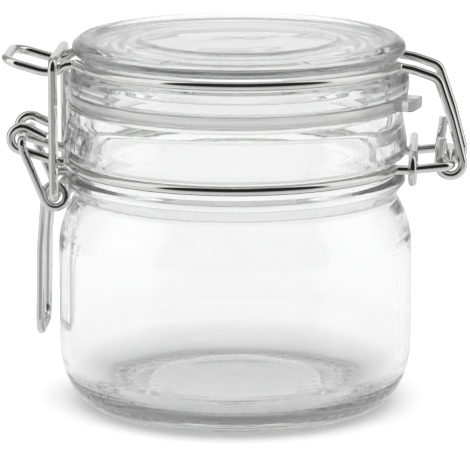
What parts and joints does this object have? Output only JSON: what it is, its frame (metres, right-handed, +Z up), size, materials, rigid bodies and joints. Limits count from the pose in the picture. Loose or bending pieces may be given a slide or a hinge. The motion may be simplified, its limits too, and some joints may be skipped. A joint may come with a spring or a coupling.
{
  "type": "terrine jar",
  "caption": "Empty clear glass jar with a hinged glass lid, a flat rubber gasket and a bent-wire clasp; the lid opens on hooks and a lever frees the latch loop.",
  "frame": {"origin": "centre of the jar's base ring, on the surface the jar stands on", "axes": "+Z up along the jar's axis, +X towards the lid's hinge, -X towards the clasp, Y across both"},
  "size_m": [0.1305, 0.1, 0.1044],
  "materials": {
    "clear_glass": "clear pressed glass, polished by the mould",
    "pale_rubber": "smooth translucent white rubber",
    "bright_steel_wire": "bright drawn wire"
  },
  "bodies": {
    "jar": {"jar_glass": "clear_glass", "collar_wire": "bright_steel_wire", "collar_ring": "bright_steel_wire"},
    "lid": {"lid_glass": "clear_glass", "gasket": "pale_rubber", "lid_wire": "bright_steel_wire"},
    "lever": {"lever_wire": "bright_steel_wire"},
    "latch": {"latch_wire": "bright_steel_wire"}
  },
  "joints": [
    {"name": "lid_hinge", "type": "hinge", "parent": "jar", "child": "lid", "pos_m": [0.0607, 0, 0.0707], "axis": [0, 1, 0], "range_deg": [0, 195]},
    {"name": "lever_pivot", "type": "hinge", "parent": "jar", "child": "lever", "pos_m": [-0.0592, 0, 0.076], "axis": [0, 1, 0], "range_deg": [0, 145]},
    {"name": "latch_pivot", "type": "hinge", "parent": "lever", "child": "latch", "pos_m": [-0.0499, 0, 0.0601], "axis": [0, 1, 0], "range_deg": [-168, 0], "deforming": ["latch_wire"]}
  ],
  "couplings": [
    {"joint": "latch_pivot", "follows": "lever_pivot", "ratio": -1.15}
  ]
}
